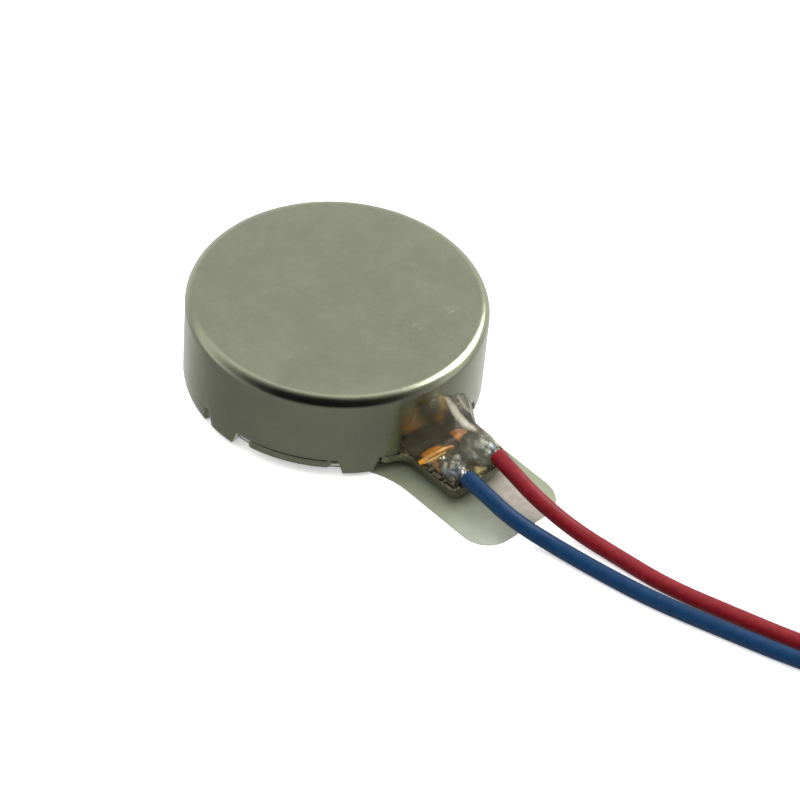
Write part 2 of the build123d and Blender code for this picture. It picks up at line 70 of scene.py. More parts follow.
# ------------------------------------------------------------ case: sizes of the drawn cup, in mm
CASE_WALL = 0.30
CASE_EDGE_RADIUS = 0.35
CEILING_EDGE_RADIUS = 0.12
RIM = 0.77                       # the wall's lower edge
WINDOW_TOP = 1.47
WINDOW_HALF_WIDTH = 1.40
FINGERS = (                      # angle, half widths at the tip and the root, cells across
    (32.8, 0.475, 0.675, 8),
    (88.85, 0.475, 0.675, 8),
    (120.8, 1.84, 1.86, 24),
)
FINGER_BEND_RADIUS = 0.10
FINGER_REACH = 0.75
CASE_BEVEL = 0.016

RUBBED_SPOTS = (                 # middles and half sizes of small rubbed marks on the top
    ((0.06, -0.72, 3.4), (0.42, 0.20, 0.2)),
    ((0.16, 0.50, 3.4), (0.10, 0.34, 0.2)),
    ((0.35, 3.00, 3.4), (0.13, 0.11, 0.2)),
    ((2.83, 2.45, 3.4), (0.45, 0.40, 0.2)),
    ((2.81, 1.03, 3.4), (0.55, 0.30, 0.2)),
)

# ------------------------------------------------------------ camera: a long lens, looking down
CAMERA_AZIMUTH = 43.5
CAMERA_ELEVATION = 43.73
CAMERA_ROLL = 5.35
CAMERA_DISTANCE = 99.02
CAMERA_LENS = 135.0
CAMERA_SENSOR = 36.0
CAMERA_AIM_HEIGHT = 1.8
CAMERA_AIM_OFFSET = (-2.12, 2.25)      # where the aim point sits in the view

# ------------------------------------------------------------ leads, in mm
LEAD_DIAMETER = 0.54
STRAND_RADIUS = 0.055
STRAND_COUNT = 6
STRAND_SPREAD = 0.095            # from the middle of the bundle to the outer strands
JOINT_TWIST = 1.6                # turns of the strands in a joint, and in a bare tip
TIP_TWIST = 1.8
RED_ROUTE = (
    (7.11, 0.64, 1.15), (7.95, 0.52, 1.12), (9.10, 0.48, 0.88), (10.55, 0.80, 0.40),
    (12.20, 1.14, 0.27), (14.10, 1.44, 0.27), (16.10, 2.14, 0.27), (18.30, 2.92, 0.28),
    (20.30, 3.82, 0.35),
)
BLUE_ROUTE = (
    (7.17, -0.78, 1.12), (8.00, -0.80, 1.08), (9.20, -0.68, 0.76), (10.55, -0.16, 0.35),
    (12.20, 0.22, 0.27), (14.10, 0.66, 0.27), (16.30, 1.44, 0.27), (18.80, 2.36, 0.28),
    (20.70, 3.25, 0.35),
)
COIL_POINTS_PER_TURN = 16
COIL_START_ANGLE = -70.4
RED_TURNS = 2.03
BLUE_TURNS = 1.70
TIP_LENGTH = 2.0                 # bare strands past the insulation

# ------------------------------------------------------------ solder joints and glue, in mm
RED_PAD = (6.40, 0.70)
BLUE_PAD = (6.40, -0.70)
SOLDER_DROPS = (                 # name, middle, half sizes, material, seed, unevenness, CAD nodes
    ("red_solder", (6.42, 0.46, PAD_TOP + 0.14), (0.66, 0.54, 0.50), "solder", 1, 0.14,
     ("red_solder_joint",)),
    ("blue_solder", (6.52, -0.72, PAD_TOP + 0.06), (0.52, 0.40, 0.38), "solder", 2, 0.26,
     ("blue_solder_joint",)),
    ("red_bright_drop", (6.54, 1.00, 0.98), (0.22, 0.13, 0.16), "tinned_strands", 5, 0.25, ()),
    ("blue_bright_drop", (6.76, -0.66, 1.12), (0.17, 0.11, 0.10), "tinned_strands", 5, 0.25, ()),
)
GLUE_LENGTH = 2.16               # from the case wall to its front on the tongue
GLUE_CLIMB = (                   # how high it climbs the case wall: place across the tail, level
    (-1.42, 0.80), (-1.34, 1.33), (-1.21, 1.88), (-0.98, 2.52), (-0.57, 2.68), (-0.06, 2.62),
    (0.40, 2.36), (0.76, 2.12), (1.24, 1.84), (1.55, 1.42), (1.75, 0.82),
)
GLUE_FRONT_HALF = 1.20
GLUE_FRONT_HEIGHT = 0.56
GLUE_SWELLS = (                  # over the joints: place out and across, height, spread
    (1.40, 0.45, 0.20, 0.50), (1.55, -0.62, 0.05, 0.40),
)
GLUE_HIGHLIGHT_STREAK = (                  # middles and half sizes of the painted highlight streak over the red joint
    ((5.12, 0.22, 2.06), (0.40, 0.24, 0.55)),
    ((5.29, 0.27, 1.98), (0.40, 0.24, 0.55)),
    ((5.46, 0.33, 1.90), (0.40, 0.24, 0.55)),
    ((5.63, 0.39, 1.80), (0.40, 0.23, 0.55)),
    ((5.80, 0.46, 1.69), (0.38, 0.21, 0.50)),
    ((5.96, 0.52, 1.60), (0.34, 0.18, 0.45)),
)
AMBER_BEAD = (                   # place along the bead, and its radius there
    ((5.52, -1.27, 0.78), 0.07), ((5.60, -1.12, 0.88), 0.13), ((5.66, -0.90, 0.95), 0.15),
    ((5.69, -0.62, 0.97), 0.14), ((5.73, -0.34, 0.97), 0.11), ((5.80, -0.08, 0.94), 0.07),
)
AMBER_HIGHLIGHT_LINE = (                    # painted highlight: a pale line along the bead's lower edge
    ((5.68, -1.20, 0.86), 0.02), ((5.76, -1.04, 0.93), 0.045), ((5.80, -0.80, 0.95), 0.05),
    ((5.82, -0.56, 0.95), 0.035), ((5.84, -0.40, 0.93), 0.015),
)


# ============================================================ small helpers
def link(obj):
    bpy.context.scene.collection.objects.link(obj)
    return obj


def scaled(points):
    """Points in millimetres as vectors in metres."""
    return [Vector(point) * MM for point in points]


def finish_piece(obj, body, nodes=()):
    """Fix a piece to its body and hide the CAD nodes it stands for."""
    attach(obj, body)
    if nodes:
        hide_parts(*nodes)
    return obj


def smooth_by_angle(mesh, degrees=35):
    for polygon in mesh.polygons:
        polygon.use_smooth = True
    mesh.set_sharp_from_angle(angle=radians(degrees))


def with_modifiers(obj):
    """Replace an object's mesh by the result of its modifiers."""
    graph = bpy.context.evaluated_depsgraph_get()
    mesh = bpy.data.meshes.new_from_object(obj.evaluated_get(graph))
    obj.modifiers.clear()
    obj.data = mesh


def bevel(obj, width):
    """Round every edge sharper than 40 degrees; width in millimetres."""
    modifier = obj.modifiers.new("edges", "BEVEL")
    modifier.width = width * MM
    modifier.segments = 2
    modifier.limit_method = "ANGLE"
    modifier.angle_limit = radians(40)
    with_modifiers(obj)
    smooth_by_angle(obj.data)
    return obj


def mesh_piece(name, vertices, faces, material, smooth_angle=35):
    """New object from points in millimetres."""
    mesh = bpy.data.meshes.new(name)
    mesh.from_pydata(scaled(vertices), [], faces)
    mesh.validate()
    bm = bmesh.new()
    bm.from_mesh(mesh)
    bmesh.ops.recalc_face_normals(bm, faces=bm.faces)
    bm.to_mesh(mesh)
    bm.free()
    mesh.materials.append(material)
    smooth_by_angle(mesh, smooth_angle)
    return link(bpy.data.objects.new(name, mesh))


def piece_from_bmesh(name, bm, material, smooth_angle=60):
    mesh = bpy.data.meshes.new(name)
    bm.to_mesh(mesh)
    bm.free()
    mesh.materials.append(material)
    smooth_by_angle(mesh, smooth_angle)
    return link(bpy.data.objects.new(name, mesh))


def two_skins(faces, base, columns, rows, closed=False):
    """Faces of a sheet: two grids of points, row after row, with walls round their edges."""
    def at(column, row, skin):
        return base + skin * columns * rows + row * columns + column % columns

    spans = columns if closed else columns - 1
    for row in range(rows - 1):
        for column in range(spans):
            for skin in (0, 1):
                faces.append((at(column, row, skin), at(column + 1, row, skin),
                              at(column + 1, row + 1, skin), at(column, row + 1, skin)))
        if not closed:
            for side in (0, columns - 1):
                faces.append((at(side, row, 0), at(side, row + 1, 0),
                              at(side, row + 1, 1), at(side, row, 1)))
    for row in (0, rows - 1):
        for column in range(spans):
            faces.append((at(column, row, 0), at(column + 1, row, 0),
                          at(column + 1, row, 1), at(column, row, 1)))


def edged_copy(node, width, material):
    """Copy of a CAD node with its flat faces merged and its sharp edges rounded."""
    mesh = frame["nodes"][node].data.copy()
    bm = bmesh.new()
    bm.from_mesh(mesh)
    bmesh.ops.remove_doubles(bm, verts=bm.verts, dist=1e-7)
    bmesh.ops.dissolve_limit(bm, angle_limit=radians(0.5), verts=bm.verts, edges=bm.edges)
    bm.to_mesh(mesh)
    bm.free()
    mesh.materials.clear()
    mesh.materials.append(material)
    obj = link(bpy.data.objects.new(node + "_edged", mesh))
    return bevel(obj, width)


def lerp(low, high, share):
    return low + (high - low) * share


def smoothstep(low, high, value):
    share = min(1.0, max(0.0, (value - low) / (high - low)))
    return share * share * (3 - 2 * share)


# ============================================================ camera and lights
def look_rotation(azimuth, elevation, roll=0.0):
    """Rotation of a camera or lamp that looks down at the object from an azimuth and elevation."""
    turn = Matrix.Rotation(radians(azimuth), 3, "Z")
    tilt = Matrix.Rotation(radians(90 - elevation), 3, "X")
    lean = Matrix.Rotation(radians(roll), 3, "Z")
    return turn @ tilt @ lean


def make_camera():
    camera = link(bpy.data.objects.new("camera", bpy.data.cameras.new("camera")))
    rotation = look_rotation(CAMERA_AZIMUTH, CAMERA_ELEVATION, CAMERA_ROLL)
    aim = Vector((0, 0, CAMERA_AIM_HEIGHT)) * MM
    place = aim - rotation @ (Vector((*CAMERA_AIM_OFFSET, -CAMERA_DISTANCE)) * MM)
    camera.matrix_world = Matrix.Translation(place) @ rotation.to_4x4()
    camera.data.lens = CAMERA_LENS
    camera.data.sensor_width = CAMERA_SENSOR
    camera.data.clip_start = 5 * MM
    camera.data.clip_end = 5.0
    bpy.context.scene.camera = camera


def make_area_light(name, azimuth, elevation, distance, size, power, colour, in_reflections):
    light = bpy.data.lights.new(name, "AREA")
    light.shape = "RECTANGLE"
    light.size, light.size_y = size
    light.energy = power
    light.color = colour
    obj = link(bpy.data.objects.new(name, light))
    rotation = look_rotation(azimuth, elevation)
    obj.matrix_world = Matrix.Translation(rotation @ Vector((0, 0, distance))) @ rotation.to_4x4()
    obj.visible_glossy = in_reflections


# ------------------------------------------------------------ the room that the metal mirrors
# Stops give how far a direction points along the ramp's axis, from -1 to 1, and the grey there.
ROOM_DARK_ELEVATION = 24
ROOM_DARK_SIDE = look_rotation(CAMERA_AZIMUTH, ROOM_DARK_ELEVATION) @ Vector((0, 0, 1))
ROOM_STOPS = (
    (-1.0, 1.05), (-0.62, 1.05), (-0.42, 0.65), (-0.32, 0.68), (-0.08, 1.18), (0.11, 1.08),
    (0.28, 0.64), (0.43, 0.35), (0.56, 0.19), (0.66, 0.07), (0.78, 0.02), (0.90, 0.015),
)
TABLE_DARK_TURN = -8             # degrees round from the camera
TABLE_DARK_SIDE = look_rotation(CAMERA_AZIMUTH + TABLE_DARK_TURN, 0) @ Vector((0, 0, 1))
TABLE_STOPS = ((-0.75, 1.00), (-0.60, 0.80), (-0.40, 0.56), (-0.06, 0.32), (0.30, 0.29), (0.72, 0.36))
HORIZON_STOPS = ((-0.50, 1.0), (-0.10, 0.0))


def make_world():
    """Studio room: dark behind the camera, bright behind the object, a mid-grey table below."""
    world = bpy.data.worlds.new("world")
    bpy.context.scene.world = world
    world.use_nodes = True
    nodes, links = world.node_tree.nodes, world.node_tree.links
    direction = nodes.new("ShaderNodeTexCoord").outputs["Generated"]

    def ramp_along(axis, stops):
        """Greys that follow how far a direction points along an axis, from -1 to 1."""
        dot = nodes.new("ShaderNodeVectorMath")
        dot.operation = "DOT_PRODUCT"
        links.new(direction, dot.inputs[0])
        dot.inputs[1].default_value = axis
        spread = nodes.new("ShaderNodeMapRange")
        spread.inputs["From Min"].default_value = -1.0
        links.new(dot.outputs["Value"], spread.inputs["Value"])
        node = nodes.new("ShaderNodeValToRGB")
        links.new(spread.outputs["Result"], node.inputs["Fac"])
        elements = node.color_ramp.elements
        while len(elements) < len(stops):
            elements.new(0.5)
        for element, (position, grey) in zip(elements, stops):
            element.position = (position + 1) / 2
            element.color = (grey, grey, grey, 1)
        return node.outputs["Color"]

    blend = nodes.new("ShaderNodeMix")
    blend.data_type = "RGBA"
    links.new(ramp_along((0, 0, 1), HORIZON_STOPS), blend.inputs["Factor"])
    links.new(ramp_along(ROOM_DARK_SIDE, ROOM_STOPS), blend.inputs["A"])
    links.new(ramp_along(TABLE_DARK_SIDE, TABLE_STOPS), blend.inputs["B"])
    links.new(blend.outputs["Result"], nodes["Background"].inputs["Color"])


def make_lights():
    make_area_light("fill_light", 20, 78, 0.40, (0.60, 0.60), 3.3, (1, 1, 1), False)
    make_area_light("side_window", 166, 43, 0.30, (0.19, 0.19), 0.80, (1.0, 1.0, 0.97), True)
    make_world()
    bpy.context.scene.view_settings.view_transform = "Standard"


def make_floor(material):
    half = 1.5 / MM
    level = -0.002
    corners = [(-half, -half, level), (half, -half, level), (half, half, level), (-half, half, level)]
    floor = mesh_piece("floor", corners, [(0, 1, 2, 3)], material)
    floor.visible_glossy = False


# ============================================================ materials
class Finish:
    """A material with one Principled shader, built up by short calls."""

    def __init__(self, name, colour, roughness, metallic=0.0, **sockets):
        self.material = bpy.data.materials.new(name)
        self.material.use_nodes = True
        tree = self.material.node_tree
        self.nodes, self.links = tree.nodes, tree.links
        self.bsdf = self.nodes["Principled BSDF"]
        self.bsdf.inputs["Base Color"].default_value = (*colour, 1)
        self.bsdf.inputs["Roughness"].default_value = roughness
        self.bsdf.inputs["Metallic"].default_value = metallic
        for socket, value in sockets.items():
            self.bsdf.inputs[socket.replace("_", " ")].default_value = value
        self.place = self.nodes.new("ShaderNodeTexCoord").outputs["Object"]

    def feed(self, socket, value):
        if isinstance(value, bpy.types.NodeSocket):
            self.links.new(value, socket)
        elif isinstance(value, tuple) and len(value) == 3 and len(socket.default_value) == 4:
            socket.default_value = (*value, 1)
        else:
            socket.default_value = value

    def place_at(self, per_mm, stretch):
        """Object coordinates with a number of pattern units per millimetre along each axis."""
        mapping = self.nodes.new("ShaderNodeMapping")
        self.links.new(self.place, mapping.inputs["Vector"])
        mapping.inputs["Scale"].default_value = [per_mm * factor / MM for factor in stretch]
        return mapping.outputs["Vector"]

    def noise(self, per_mm, detail=3.0, roughness=0.55, stretch=(1, 1, 1), distortion=0.0):
        node = self.nodes.new("ShaderNodeTexNoise")
        self.links.new(self.place_at(per_mm, stretch), node.inputs["Vector"])
        node.inputs["Scale"].default_value = 1.0
        node.inputs["Detail"].default_value = detail
        node.inputs["Roughness"].default_value = roughness
        node.inputs["Distortion"].default_value = distortion
        return node.outputs["Fac"]

    def cells(self, per_mm, stretch=(1, 1, 1)):
        """Distance to the nearest of many scattered points."""
        node = self.nodes.new("ShaderNodeTexVoronoi")
        self.links.new(self.place_at(per_mm, stretch), node.inputs["Vector"])
        node.inputs["Scale"].default_value = 1.0
        return node.outputs["Distance"]

    def ramp(self, factor, *stops):
        node = self.nodes.new("ShaderNodeValToRGB")
        self.links.new(factor, node.inputs["Fac"])
        elements = node.color_ramp.elements
        while len(elements) < len(stops):
            elements.new(0.5)
        for element, (position, value) in zip(elements, stops):
            element.position = position
            element.color = (*value, 1) if isinstance(value, tuple) else (value, value, value, 1)
        return node.outputs["Color"]

    def mix(self, factor, first, second, blend="MIX"):
        node = self.nodes.new("ShaderNodeMix")
        node.data_type = "RGBA"
        node.blend_type = blend
        self.feed(node.inputs["Factor"], factor)
        self.feed(node.inputs["A"], first)
        self.feed(node.inputs["B"], second)
        return node.outputs["Result"]

    def spot(self, centre, size):
        """1 in the middle of a soft ellipsoid, 0 outside it; millimetres."""
        node = self.nodes.new("ShaderNodeTexGradient")
        node.gradient_type = "SPHERICAL"
        mapping = self.nodes.new("ShaderNodeMapping")
        self.links.new(self.place, mapping.inputs["Vector"])
        mapping.inputs["Scale"].default_value = [1 / (half * MM) for half in size]
        mapping.inputs["Location"].default_value = [-c / half for c, half in zip(centre, size)]
        self.links.new(mapping.outputs["Vector"], node.inputs["Vector"])
        return node.outputs["Fac"]

    def colour(self, value):
        self.links.new(value, self.bsdf.inputs["Base Color"])

    def roughness(self, value):
        self.links.new(value, self.bsdf.inputs["Roughness"])

    def transmission(self, value):
        self.links.new(value, self.bsdf.inputs["Transmission Weight"])

    def bump(self, height, depth, strength=1.0):
        """Relief from a height pattern; depth in millimetres. Later calls add to earlier ones."""
        node = self.nodes.new("ShaderNodeBump")
        node.inputs["Strength"].default_value = strength
        node.inputs["Distance"].default_value = depth * MM
        self.links.new(height, node.inputs["Height"])
        normal = self.bsdf.inputs["Normal"]
        if normal.is_linked:
            self.links.new(normal.links[0].from_socket, node.inputs["Normal"])
        self.links.new(node.outputs["Normal"], normal)


def case_steel():
    """Nickel plate on drawn steel: satin, faintly clouded, with tiny pits and rubbed patches."""
    f = Finish("case_steel", (0.35, 0.365, 0.265), 0.24, metallic=1.0)
    cloud = f.noise(0.45, detail=5, roughness=0.62, distortion=0.4)
    grain = f.noise(11, detail=4, roughness=0.7)
    plate = f.ramp(cloud, (0.30, (0.325, 0.343, 0.248)), (0.70, (0.378, 0.392, 0.282)))
    toned = f.mix(1.0, plate, f.ramp(grain, (0.25, 0.90), (0.75, 1.0)), "MULTIPLY")
    pits = f.ramp(f.cells(0.75), (0.012, 0.60), (0.030, 1.0))
    f.colour(f.mix(1.0, toned, pits, "MULTIPLY"))
    f.roughness(f.ramp(f.noise(1.6, detail=5, roughness=0.65), (0.25, 0.20), (0.8, 0.30)))
    f.bump(grain, 0.0035, 0.6)
    f.bump(f.noise(2.2, detail=3), 0.012, 0.30)
    scratches = f.noise(9, detail=2, stretch=(1.0, 0.12, 1.0), distortion=0.6)
    for centre, size in RUBBED_SPOTS:
        worn = f.mix(f.spot(centre, size), (0.5, 0.5, 0.5), f.ramp(scratches, (0.42, 0.0), (0.58, 1.0)))
        f.bump(worn, 0.007, 0.7)
    return f.material


def bracket_steel():
    """The same plate as the case, darker on the tongue from painted shade."""
    f = Finish("bracket_steel", (0.33, 0.345, 0.25), 0.30, metallic=1.0)
    grain = f.noise(9, detail=4, roughness=0.65)
    bright = f.ramp(grain, (0.25, (0.29, 0.305, 0.22)), (0.8, (0.37, 0.385, 0.285)))
    # painted shade: a darker copy of the plate, laid on the tongue where the case and the glue shade it
    tongue_shade = f.ramp(grain, (0.25, (0.11, 0.105, 0.07)), (0.8, (0.23, 0.225, 0.16)))
    tongue = f.ramp(f.spot((6.6, 0.0, 0.6), (2.6, 2.6, 1.5)), (0.0, 0.0), (0.25, 1.0))
    f.colour(f.mix(tongue, bright, tongue_shade))
    f.roughness(f.ramp(f.noise(3, detail=4), (0.3, 0.24), (0.8, 0.38)))
    f.bump(grain, 0.006, 0.5)
    return f.material


def grained(name, dark, light, roughness, metallic=0.0, per_mm=8, depth=0.005):
    """Common finish: colour and roughness that vary a little with a fine grain."""
    f = Finish(name, light, roughness, metallic)
    grain = f.noise(per_mm, detail=4, roughness=0.6)
    f.colour(f.ramp(grain, (0.25, dark), (0.8, light)))
    f.roughness(f.ramp(f.noise(4, detail=3), (0.3, roughness * 0.8), (0.8, min(1.0, roughness * 1.25))))
    f.bump(grain, depth, 0.5)
    return f.material


def insulation(name, dark, light):
    """Soft extruded skin with a slight sheen, faint flow marks and small scuffs."""
    f = Finish(name, light, 0.40, Specular_IOR_Level=0.22)
    skin = f.noise(6, detail=5, roughness=0.65)
    scuffs = f.ramp(f.noise(2.2, detail=4, roughness=0.7), (0.35, 0.86), (0.60, 1.0))
    f.colour(f.mix(1.0, f.ramp(skin, (0.25, dark), (0.75, light)), scuffs, "MULTIPLY"))
    f.roughness(f.ramp(f.noise(3, detail=4), (0.3, 0.34), (0.8, 0.52)))
    f.bump(skin, 0.010, 0.5)
    return f.material


def liner_film():
    """Thin translucent release film: clouded; painted shade makes it darker and greener by the tongue, and
    a painted pink reflection of the red lead tints it between the leads.
    """
    f = Finish("liner", (0.24, 0.25, 0.19), 0.36, Specular_IOR_Level=0.30)
    cloud = f.noise(0.7, detail=4, roughness=0.6)
    # painted shade: a darker, greener copy of the film by the tongue, lighter towards the tab's end
    film = f.ramp(cloud, (0.3, (0.165, 0.178, 0.122)), (0.75, (0.215, 0.230, 0.165)))
    clear = f.ramp(cloud, (0.3, (0.27, 0.29, 0.235)), (0.75, (0.34, 0.365, 0.305)))
    # painted reflection: a pink tint between the leads, where the red lead is mirrored in the film
    red_reflection_tint = f.ramp(f.noise(4.5, detail=4), (0.35, (0.26, 0.23, 0.19)), (0.7, (0.33, 0.305, 0.262)))
    out_of_shade = f.ramp(f.spot((9.6, -1.6, 0.0), (2.6, 2.2, 2.0)), (0.05, 0.0), (0.70, 1.0))
    between = f.ramp(f.spot((8.2, 0.8, 0.0), (1.8, 0.8, 2.0)), (0.05, 0.0), (0.45, 1.0))
    lint = f.ramp(f.cells(5.5), (0.05, 0.70), (0.12, 1.0))
    f.colour(f.mix(1.0, f.mix(between, f.mix(out_of_shade, film, clear), red_reflection_tint), lint, "MULTIPLY"))
    f.roughness(f.ramp(cloud, (0.3, 0.45), (0.7, 0.30)))
    f.bump(cloud, 0.03, 0.4)
    return f.material


def glue_resin():
    """Brownish resin under a glossy wavy skin, with one painted highlight streak over the red joint, pale
    and less clear.
    """
    f = Finish("glue", (0.60, 0.54, 0.38), 0.14, Transmission_Weight=1.0, IOR=1.12,
               Coat_Weight=0.28, Coat_Roughness=0.22, Coat_IOR=1.46)
    cloud = f.noise(1.2, detail=3, roughness=0.55)
    resin = f.ramp(cloud, (0.3, (0.50, 0.45, 0.31)), (0.72, (0.72, 0.67, 0.52)))
    # painted highlight: a pale, less clear streak where the glue's shoulder mirrors the bright room
    streak = f.spot(*GLUE_HIGHLIGHT_STREAK[0])
    for centre, size in GLUE_HIGHLIGHT_STREAK[1:]:
        streak = f.mix(1.0, streak, f.spot(centre, size), "LIGHTEN")
    painted_highlight = f.ramp(streak, (0.10, 0.0), (0.90, 1.0))
    murky = f.ramp(f.spot((4.95, 1.25, 1.50), (0.60, 0.70, 1.00)), (0.0, 0.0), (0.30, 1.0))
    tinted = f.mix(murky, resin, (0.105, 0.100, 0.066))
    f.colour(f.mix(painted_highlight, tinted, (0.40, 0.385, 0.33)))
    # the painted highlight and the murky patch both lower the transmission
    clouded = f.mix(1.0, painted_highlight, murky, "LIGHTEN")
    f.transmission(f.ramp(clouded, (0.0, 0.97), (1.0, 0.25)))
    f.bump(f.noise(1.6, detail=2), 0.04, 0.30)
    return f.material


def amber_resin():
    """Clean rosin that set as an amber bead."""
    f = Finish("amber", (0.42, 0.17, 0.010), 0.10, Coat_Weight=1.0, Coat_Roughness=0.05)
    cloud = f.noise(4, detail=3, roughness=0.6)
    f.colour(f.ramp(cloud, (0.3, (0.26, 0.08, 0.004)), (0.72, (0.78, 0.36, 0.018))))
    f.bump(cloud, 0.02, 0.4)
    return f.material


def flex_film():
    """Polyimide film over copper: bare amber in two patches by the window, painted shade near black
    elsewhere, with a tan patch at the end.
    """
    f = Finish("flex", (0.80, 0.34, 0.03), 0.24, Specular_IOR_Level=0.20)
    cloud = f.noise(3, detail=4, roughness=0.6)
    amber = f.ramp(cloud, (0.3, (0.30, 0.085, 0.004)), (0.72, (0.62, 0.24, 0.012)))
    # painted shade: a near-black copy of the film for everywhere outside the two amber patches
    painted_shade_film = f.ramp(cloud, (0.3, (0.018, 0.016, 0.010)), (0.7, (0.065, 0.055, 0.032)))
    left_patch = f.spot((5.62, -0.80, 1.0), (0.34, 0.50, 0.8))
    right_patch = f.spot((5.54, 0.42, 1.0), (0.50, 0.30, 0.8))
    tan_end = f.spot((7.05, 0.02, 0.8), (0.34, 0.30, 0.5))
    unshaded_patches = f.mix(1.0, f.ramp(left_patch, (0.12, 0.0), (0.34, 1.0)),
                  f.ramp(right_patch, (0.12, 0.0), (0.36, 1.0)), "LIGHTEN")
    shade_and_tan_end = f.mix(f.ramp(tan_end, (0.1, 0.0), (0.5, 1.0)), painted_shade_film, (0.42, 0.35, 0.20))
    f.colour(f.mix(unshaded_patches, shade_and_tan_end, amber))
    f.bump(f.noise(5, detail=2), 0.012, 0.35)
    return f.material


def solder_metal():
    """Tin alloy that froze with a dull blue-grey skin."""
    f = Finish("solder", (0.28, 0.31, 0.32), 0.42, metallic=0.85)
    cloud = f.noise(2.4, detail=4, roughness=0.6)
    f.colour(f.ramp(cloud, (0.3, (0.13, 0.155, 0.165)), (0.72, (0.29, 0.32, 0.315))))
    f.roughness(f.ramp(cloud, (0.3, 0.50), (0.7, 0.36)))
    f.bump(f.noise(3, detail=3), 0.02, 0.4)
    return f.material


def flux_residue():
    """Burnt flux round the joints: dark brown, glassy and cracked."""
    f = Finish("flux", (0.05, 0.035, 0.02), 0.18, Specular_IOR_Level=0.6)
    cloud = f.noise(7, detail=4, roughness=0.65)
    f.colour(f.ramp(cloud, (0.3, (0.012, 0.010, 0.007)), (0.75, (0.13, 0.11, 0.065))))
    f.bump(cloud, 0.05, 0.7)
    return f.material


def floor_paper():
    f = Finish("floor", (0.88, 0.88, 0.87), 0.9, Specular_IOR_Level=0.0,
               Emission_Color=(1, 1, 1, 1), Emission_Strength=0.40)
    f.colour(f.ramp(f.noise(1.5, detail=3), (0.3, (0.87, 0.87, 0.865)), (0.7, (0.89, 0.89, 0.885))))
    return f.material


COMMON_FINISHES = (              # name, dark, light, roughness, metallic, grains per mm, depth in mm
    ("tape", (0.62, 0.62, 0.55), (0.76, 0.76, 0.69), 0.55),
    ("shaft_steel", (0.58, 0.58, 0.58), (0.70, 0.70, 0.70), 0.16, 1.0, 20, 0.002),
    ("washer_film", (0.70, 0.60, 0.34), (0.82, 0.74, 0.50), 0.35),
    ("magnet", (0.34, 0.34, 0.35), (0.46, 0.46, 0.47), 0.30, 1.0, 12),
    ("pad_copper", (0.66, 0.36, 0.18), (0.82, 0.50, 0.28), 0.3, 1.0),
    ("brush_alloy", (0.66, 0.52, 0.24), (0.80, 0.68, 0.38), 0.22, 1.0, 16, 0.003),
    ("bearing_bronze", (0.36, 0.24, 0.11), (0.60, 0.44, 0.23), 0.45, 1.0, 22, 0.012),
    ("board", (0.03, 0.13, 0.05), (0.06, 0.22, 0.09), 0.35, 0.0, 10),
    ("segment_gold", (0.74, 0.52, 0.20), (0.88, 0.68, 0.32), 0.2, 1.0, 16, 0.003),
    ("coil_copper", (0.42, 0.14, 0.05), (0.72, 0.31, 0.13), 0.26, 1.0, 14, 0.003),
    ("weight_alloy", (0.17, 0.17, 0.18), (0.30, 0.30, 0.31), 0.48, 1.0, 20, 0.008),
    ("moulding", (0.012, 0.012, 0.014), (0.032, 0.032, 0.036), 0.45, 0.0, 12),
    ("tinned_strands", (0.48, 0.48, 0.47), (0.74, 0.74, 0.72), 0.25, 1.0, 14),
    # painted highlight: pale yellow line on the amber bead's lower edge
    ("amber_painted_highlight", (0.86, 0.60, 0.16), (1.0, 0.88, 0.50), 0.2),
    ("tie_nylon", (0.36, 0.36, 0.33), (0.48, 0.48, 0.44), 0.35),
)


def make_materials():
    materials = {row[0]: grained(*row) for row in COMMON_FINISHES}
    materials.update({
        "case_steel": case_steel(),
        "bracket_steel": bracket_steel(),
        "liner": liner_film(),
        "flex": flex_film(),
        "solder": solder_metal(),
        "glue": glue_resin(),
        "amber": amber_resin(),
        "red_insulation": insulation("red_insulation", (0.110, 0.0045, 0.0075), (0.190, 0.008, 0.014)),
        "blue_insulation": insulation("blue_insulation", (0.001, 0.017, 0.050), (0.002, 0.029, 0.085)),
    })
    return materials


def dress_cad_nodes(materials):
    """Each CAD node takes the material of its slot in the record."""
    for row in frame["record"]["subparts"]:
        mesh = frame["nodes"][row["node"]].data
        mesh.materials.clear()
        mesh.materials.append(materials[row["material_slot"]])


